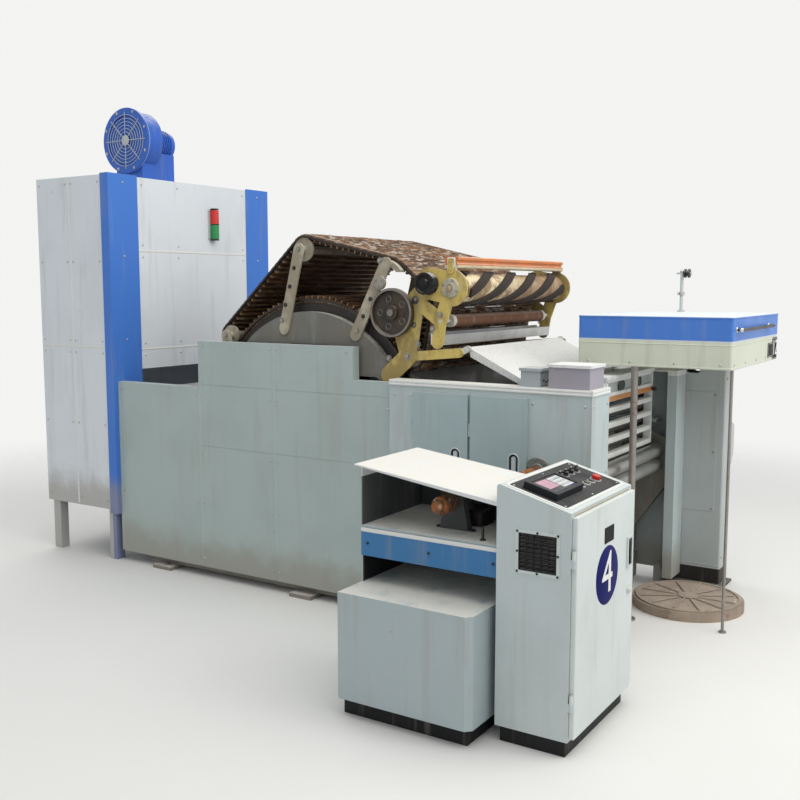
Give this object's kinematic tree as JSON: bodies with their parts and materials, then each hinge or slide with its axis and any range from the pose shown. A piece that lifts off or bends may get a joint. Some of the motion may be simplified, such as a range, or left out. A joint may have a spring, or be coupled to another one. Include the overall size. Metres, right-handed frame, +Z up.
{
  "type": "revolving-flat carding machine",
  "caption": "Revolving-flat carding machine with a blue-lidded can coiler, a control cabinet, a spiral flat-stripping drum and a tall feed chute.",
  "frame": {"origin": "on the floor, on the machine's centre plane, straight below the cylinder's axis", "axes": "+X to the right for someone facing the delivery end, +Y from the delivery end to the feed end, +Z up"},
  "size_m": [2.66, 4.002, 2.666],
  "materials": {
    "frame_castings": "dusty grey casting",
    "bend_iron": "dark oiled casting",
    "flat_iron": "brown oiled castings with dust",
    "chain_steel": "dark oiled steel",
    "guide_paint": "worn cream paint",
    "drum_yellow": "yellow paint with brown stains",
    "clearer_orange": "orange and cream moulding",
    "trough_aluminium": "folded sheet",
    "panel_white": "satin white paint",
    "rail_white": "satin white paint",
    "panel_grey": "satin grey-green paint",
    "door_grey": "satin grey-blue paint",
    "box_mauve": "satin grey paint",
    "cable_black": "matt black",
    "chute_white": "satin white paint, blue corner strips",
    "fan_blue": "satin blue paint",
    "lamp_lens": "red over green lenses",
    "plate_steel": "ground steel",
    "bay_grey": "satin grey paint with a blue band",
    "motor_grey": "grey motor paint",
    "belt_rubber": "matt black",
    "cabinet_paint": "satin pale grey paint",
    "grille_black": "matt black mesh",
    "panel_dark": "speckled dark grey",
    "head_cream": "satin cream paint",
    "column_grey": "dusty grey paint",
    "guard_grey": "satin grey paint",
    "post_steel": "dull steel tube",
    "bed_iron": "rusty casting",
    "roll_wire": "wire-clothed roll",
    "roll_steel": "turned steel",
    "drum_cream": "cream drum with dark brush spirals",
    "clearer_fabric": "brown plush cover",
    "roller_brown": "brown roller with light ends",
    "switch_black": "gloss black",
    "stop_red": "gloss red",
    "lid_blue": "satin blue paint, near-white top",
    "handle_dark": "dark paint",
    "table_rust": "pinkish rusty disc",
    "shaft_rust": "rusty orange shaft",
    "wheel_black": "black wheel with a light rim"
  },
  "bodies": {
    "machine_frame": {"base_frame": "frame_castings", "side_frames": "frame_castings", "flexible_bends": "bend_iron", "flat_bars": "flat_iron", "flat_chains": "chain_steel", "flat_guides": "guide_paint", "drum_frame": "drum_yellow", "clearer_bar": "clearer_orange", "strip_trough": "trough_aluminium", "instrument_box": "panel_white", "web_rails": "rail_white", "side_casings": "panel_grey", "side_covers": "panel_grey", "utility_boxes": "box_mauve", "sensor_cable": "cable_black", "chute_body": "chute_white", "chute_fan": "fan_blue", "signal_lamp": "lamp_lens", "feed_plate": "plate_steel", "drive_bay_case": "bay_grey", "main_motor": "motor_grey", "main_belt": "belt_rubber", "cabinet_shell": "cabinet_paint", "vent_grilles": "grille_black", "display_unit": "panel_dark", "head_box": "head_cream", "column": "column_grey", "gear_guard": "guard_grey", "support_posts": "post_steel", "can_base": "bed_iron"},
    "cylinder": {"cylinder": "roll_wire"},
    "licker_in": {"licker_in": "roll_wire"},
    "motor_pulley": {"motor_pulley": "roll_steel"},
    "doffer": {"doffer": "roll_wire"},
    "stripping_roll": {"stripping_roll": "roll_steel"},
    "crush_roll_lower": {"crush_roll_lower": "roll_steel"},
    "crush_roll_upper": {"crush_roll_upper": "roll_steel"},
    "feed_roll": {"feed_roll": "roll_steel"},
    "drive_shaft": {"drive_shaft": "shaft_rust"},
    "coiler_plate": {"coiler_plate": "roll_steel"},
    "turntable": {"turntable": "table_rust"},
    "spiral_drum": {"spiral_drum": "drum_cream"},
    "clearer_roll": {"clearer_roll": "clearer_fabric"},
    "cleaner_roller": {"cleaner_roller": "roller_brown"},
    "flat_wheels_front": {"flat_wheels_front": "chain_steel"},
    "flats_drive_wheel": {"flats_drive_wheel": "wheel_black"},
    "head_lid": {"head_lid": "lid_blue", "lid_handle": "handle_dark", "guide_pole": "post_steel"},
    "guide_pulley": {"guide_pulley": "wheel_black"},
    "doffer_hood": {"doffer_hood": "panel_white"},
    "cabinet_door": {"cabinet_door": "cabinet_paint"},
    "side_door_left_front": {"side_door_left_front": "door_grey"},
    "side_door_left_rear": {"side_door_left_rear": "door_grey"},
    "side_door_right": {"side_door_right": "door_grey"},
    "main_switch": {"main_switch": "switch_black"},
    "knob_1": {"knob_1": "switch_black"},
    "knob_2": {"knob_2": "switch_black"},
    "knob_3": {"knob_3": "switch_black"},
    "stop_button": {"stop_button": "stop_red"}
  },
  "joints": [
    {"name": "cylinder_spin", "type": "hinge", "parent": "machine_frame", "child": "cylinder", "pos_m": [0, 0, 0.88], "axis": [1, 0, 0], "continuous": true},
    {"name": "licker_in_spin", "type": "hinge", "parent": "machine_frame", "child": "licker_in", "pos_m": [0, 0.76151, 0.75939], "axis": [1, 0, 0], "continuous": true},
    {"name": "motor_pulley_spin", "type": "hinge", "parent": "machine_frame", "child": "motor_pulley", "pos_m": [0.63, 0.82, 0.29], "axis": [1, 0, 0], "continuous": true},
    {"name": "doffer_spin", "type": "hinge", "parent": "machine_frame", "child": "doffer", "pos_m": [0, -0.9603, 0.60464], "axis": [1, 0, 0], "continuous": true},
    {"name": "stripping_roll_spin", "type": "hinge", "parent": "machine_frame", "child": "stripping_roll", "pos_m": [0, -1.36443, 0.7054], "axis": [1, 0, 0], "continuous": true},
    {"name": "crush_roll_lower_spin", "type": "hinge", "parent": "machine_frame", "child": "crush_roll_lower", "pos_m": [0, -1.46643, 0.66775], "axis": [1, 0, 0], "continuous": true},
    {"name": "crush_roll_upper_spin", "type": "hinge", "parent": "machine_frame", "child": "crush_roll_upper", "pos_m": [0, -1.46643, 0.74305], "axis": [1, 0, 0], "continuous": true},
    {"name": "feed_roll_spin", "type": "hinge", "parent": "machine_frame", "child": "feed_roll", "pos_m": [0, 0.92689, 0.81959], "axis": [1, 0, 0], "continuous": true},
    {"name": "drive_shaft_spin", "type": "hinge", "parent": "machine_frame", "child": "drive_shaft", "pos_m": [-1, -1.335, 0.81], "axis": [1, 0, 0], "continuous": true},
    {"name": "coiler_plate_spin", "type": "hinge", "parent": "machine_frame", "child": "coiler_plate", "pos_m": [0.29, -1.725, 1.24], "axis": [0, 0, 1], "continuous": true},
    {"name": "turntable_spin", "type": "hinge", "parent": "machine_frame", "child": "turntable", "pos_m": [0.29, -1.725, 0.04], "axis": [0, 0, 1], "continuous": true},
    {"name": "spiral_drum_spin", "type": "hinge", "parent": "machine_frame", "child": "spiral_drum", "pos_m": [0, -0.83959, 1.59905], "axis": [1, 0, 0], "continuous": true},
    {"name": "clearer_roll_spin", "type": "hinge", "parent": "machine_frame", "child": "clearer_roll", "pos_m": [0, -0.72437, 1.61937], "axis": [1, 0, 0], "continuous": true},
    {"name": "cleaner_roller_spin", "type": "hinge", "parent": "machine_frame", "child": "cleaner_roller", "pos_m": [0, -0.785, 1.445], "axis": [1, 0, 0], "continuous": true},
    {"name": "flat_wheels_front_spin", "type": "hinge", "parent": "machine_frame", "child": "flat_wheels_front", "pos_m": [0, -0.648, 1.543], "axis": [1, 0, 0], "continuous": true},
    {"name": "flats_drive_wheel_spin", "type": "hinge", "parent": "machine_frame", "child": "flats_drive_wheel", "pos_m": [-0.636, -0.54, 1.482], "axis": [1, 0, 0], "continuous": true},
    {"name": "head_lid_hinge", "type": "hinge", "parent": "machine_frame", "child": "head_lid", "pos_m": [0.345, -1.261, 1.364], "axis": [-1, 0, 0], "range_deg": [0, 60]},
    {"name": "guide_pulley_spin", "type": "hinge", "parent": "head_lid", "child": "guide_pulley", "pos_m": [0.77, -1.528, 1.677], "axis": [0, 1, 0], "continuous": true},
    {"name": "doffer_hood_hinge", "type": "hinge", "parent": "machine_frame", "child": "doffer_hood", "pos_m": [0, -0.9, 1.316], "axis": [-1, 0, 0], "range_deg": [0, 80]},
    {"name": "cabinet_door_hinge", "type": "hinge", "parent": "machine_frame", "child": "cabinet_door", "pos_m": [-1.5865, -1.876, 0.45], "axis": [0, 0, -1], "range_deg": [0, 110]},
    {"name": "side_door_left_front_hinge", "type": "hinge", "parent": "machine_frame", "child": "side_door_left_front", "pos_m": [-0.7, -0.9975, 0.64], "axis": [0, 0, -1], "range_deg": [0, 90]},
    {"name": "side_door_left_rear_hinge", "type": "hinge", "parent": "machine_frame", "child": "side_door_left_rear", "pos_m": [-0.7, -0.6935, 0.64], "axis": [0, 0, -1], "range_deg": [0, 100]},
    {"name": "side_door_right_hinge", "type": "hinge", "parent": "machine_frame", "child": "side_door_right", "pos_m": [0.7, -0.6935, 0.64], "axis": [0, 0, 1], "range_deg": [0, 100]},
    {"name": "main_switch_turn", "type": "hinge", "parent": "machine_frame", "child": "main_switch", "pos_m": [-1.01, -1.74, 0.42], "axis": [1, 0, 0], "range_deg": [0, 90]},
    {"name": "knob_1_turn", "type": "hinge", "parent": "machine_frame", "child": "knob_1", "pos_m": [-1.26, -1.67782, 0.90814], "axis": [0, -0.2622, 0.965], "range_deg": [-135, 135]},
    {"name": "knob_2_turn", "type": "hinge", "parent": "machine_frame", "child": "knob_2", "pos_m": [-1.21, -1.67782, 0.90814], "axis": [0, -0.2622, 0.965], "range_deg": [-135, 135]},
    {"name": "knob_3_turn", "type": "hinge", "parent": "machine_frame", "child": "knob_3", "pos_m": [-1.16, -1.67782, 0.90814], "axis": [0, -0.2622, 0.965], "range_deg": [-135, 135]},
    {"name": "stop_button_press", "type": "slide", "parent": "machine_frame", "child": "stop_button", "axis": [0, 0.2622, -0.965], "range_m": [0, 0.004], "stiffness_N_per_m": 600, "springref_m": -0.002}
  ],
  "couplings": [
    {"joint": "licker_in_spin", "follows": "cylinder_spin", "ratio": -2.5},
    {"joint": "motor_pulley_spin", "follows": "cylinder_spin", "ratio": 2},
    {"joint": "stripping_roll_spin", "follows": "doffer_spin", "ratio": -5.9304},
    {"joint": "crush_roll_lower_spin", "follows": "doffer_spin", "ratio": -10.355},
    {"joint": "crush_roll_upper_spin", "follows": "doffer_spin", "ratio": 10.355},
    {"joint": "feed_roll_spin", "follows": "doffer_spin", "ratio": 0.07},
    {"joint": "drive_shaft_spin", "follows": "doffer_spin", "ratio": 4},
    {"joint": "coiler_plate_spin", "follows": "doffer_spin", "ratio": 2.4},
    {"joint": "turntable_spin", "follows": "doffer_spin", "ratio": 0.12},
    {"joint": "clearer_roll_spin", "follows": "spiral_drum_spin", "ratio": -1.5},
    {"joint": "flats_drive_wheel_spin", "follows": "flat_wheels_front_spin", "ratio": -1.2}
  ]
}
